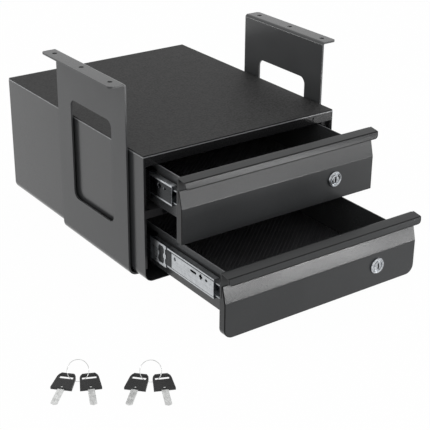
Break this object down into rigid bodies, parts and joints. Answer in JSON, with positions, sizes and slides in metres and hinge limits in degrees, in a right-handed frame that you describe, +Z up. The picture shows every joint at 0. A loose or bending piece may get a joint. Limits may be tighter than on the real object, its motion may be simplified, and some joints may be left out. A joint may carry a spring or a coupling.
{
  "type": "lockable under-desk drawer unit",
  "caption": "Slim steel drawer unit with lockable drawers on ball slides, hung under a desk from folded side hangers.",
  "frame": {"origin": "centre of the corner holes in the hanger flanges, on the flanges' top faces, where they meet the underside of the desk", "axes": "+X to the right, +Y to the back, +Z up; the drawers open towards -Y"},
  "size_m": [0.5507, 0.6037, 0.2595],
  "materials": {
    "cabinet_coat": "fine-textured satin powder coat, dark grey",
    "cover_coat": "fine-textured matt powder coat, black",
    "inner_coat": "matt black coat",
    "hanger_coat": "satin powder coat, dark grey",
    "front_coat": "satin powder coat, dark grey",
    "pull_coat": "satin powder coat, dark grey",
    "box_coat": "satin powder coat, dark grey",
    "liner_mat": "black mat with fine diagonal ribs",
    "rubber": "matt black",
    "zinc": "zinc plated",
    "rail_zinc": "bright zinc plated",
    "cage_steel": "bright steel",
    "lock_chrome": "polished",
    "black_plastic": "matt moulded",
    "key_steel": "nickel plated"
  },
  "bodies": {
    "cabinet": {"cabinet_wrap": "cabinet_coat", "top_cover": "cover_coat", "back_panel": "cabinet_coat", "front_header": "inner_coat", "mid_rail": "inner_coat", "lower_striker": "inner_coat", "left_posts": "inner_coat", "right_posts": "inner_coat", "left_hanger": "hanger_coat", "right_hanger": "hanger_coat", "hanger_studs": "zinc", "hanger_nuts": "zinc", "slide_screws": "zinc", "drawer_bumpers": "rubber", "upper_left_outer_rail": "rail_zinc", "upper_right_outer_rail": "rail_zinc", "lower_left_outer_rail": "rail_zinc", "lower_right_outer_rail": "rail_zinc"},
    "upper_middle_rails": {"upper_left_middle_rail": "rail_zinc", "upper_right_middle_rail": "rail_zinc"},
    "upper_outer_ball_cages": {"upper_outer_cages": "cage_steel"},
    "upper_inner_ball_cages": {"upper_inner_cages": "cage_steel"},
    "upper_drawer": {"upper_front_skin": "front_coat", "upper_front_plate": "front_coat", "upper_pull": "pull_coat", "upper_drawer_box": "box_coat", "upper_liner": "liner_mat", "upper_left_inner_rail": "rail_zinc", "upper_right_inner_rail": "rail_zinc", "upper_rail_rivets": "zinc", "upper_front_rivets": "zinc", "upper_lock_body": "lock_chrome", "upper_lock_nut": "zinc"},
    "upper_lock_core": {"upper_lock_plug": "lock_chrome", "upper_lock_cam": "zinc", "upper_cam_screw": "zinc"},
    "lower_middle_rails": {"lower_left_middle_rail": "rail_zinc", "lower_right_middle_rail": "rail_zinc"},
    "lower_outer_ball_cages": {"lower_outer_cages": "cage_steel"},
    "lower_inner_ball_cages": {"lower_inner_cages": "cage_steel"},
    "lower_drawer": {"lower_front_skin": "front_coat", "lower_front_plate": "front_coat", "lower_pull": "pull_coat", "lower_drawer_box": "box_coat", "lower_liner": "liner_mat", "lower_left_inner_rail": "rail_zinc", "lower_right_inner_rail": "rail_zinc", "lower_rail_rivets": "zinc", "lower_front_rivets": "zinc", "lower_lock_body": "lock_chrome", "lower_lock_nut": "zinc"},
    "lower_lock_core": {"lower_lock_plug": "lock_chrome", "lower_lock_cam": "zinc", "lower_cam_screw": "zinc"},
    "keys": {"key_heads": "black_plastic", "key_blades": "key_steel", "key_rings": "key_steel"}
  },
  "joints": [
    {"name": "upper_middle_slide", "type": "slide", "parent": "cabinet", "child": "upper_middle_rails", "axis": [0, -1, 0], "range_m": [-0.0717, 0.1033]},
    {"name": "upper_drawer_slide", "type": "slide", "parent": "upper_middle_rails", "child": "upper_drawer", "axis": [0, -1, 0], "range_m": [0, 0.175]},
    {"name": "upper_outer_cage_slide", "type": "slide", "parent": "cabinet", "child": "upper_outer_ball_cages", "axis": [0, -1, 0], "range_m": [-0.03585, 0.05165]},
    {"name": "upper_inner_cage_slide", "type": "slide", "parent": "upper_middle_rails", "child": "upper_inner_ball_cages", "axis": [0, -1, 0], "range_m": [0, 0.0875]},
    {"name": "upper_lock_turn", "type": "hinge", "parent": "upper_drawer", "child": "upper_lock_core", "pos_m": [0.0845, -0.1892, -0.1402], "axis": [0, 1, 0], "range_deg": [0, 90]},
    {"name": "lower_middle_slide", "type": "slide", "parent": "cabinet", "child": "lower_middle_rails", "axis": [0, -1, 0], "range_m": [-0.16, 0.015]},
    {"name": "lower_drawer_slide", "type": "slide", "parent": "lower_middle_rails", "child": "lower_drawer", "axis": [0, -1, 0], "range_m": [0, 0.175]},
    {"name": "lower_outer_cage_slide", "type": "slide", "parent": "cabinet", "child": "lower_outer_ball_cages", "axis": [0, -1, 0], "range_m": [-0.08, 0.0075]},
    {"name": "lower_inner_cage_slide", "type": "slide", "parent": "lower_middle_rails", "child": "lower_inner_ball_cages", "axis": [0, -1, 0], "range_m": [0, 0.0875]},
    {"name": "lower_lock_turn", "type": "hinge", "parent": "lower_drawer", "child": "lower_lock_core", "pos_m": [0.0845, -0.2775, -0.2267], "axis": [0, 1, 0], "range_deg": [0, 90]},
    {"name": "keys_lift", "type": "slide", "parent": "cabinet", "child": "keys", "axis": [0, 0, 1], "range_m": [0, 0.05]}
  ],
  "couplings": [
    {"joint": "upper_outer_cage_slide", "follows": "upper_middle_slide", "ratio": 0.5},
    {"joint": "upper_inner_cage_slide", "follows": "upper_drawer_slide", "ratio": 0.5},
    {"joint": "lower_outer_cage_slide", "follows": "lower_middle_slide", "ratio": 0.5},
    {"joint": "lower_inner_cage_slide", "follows": "lower_drawer_slide", "ratio": 0.5}
  ]
}
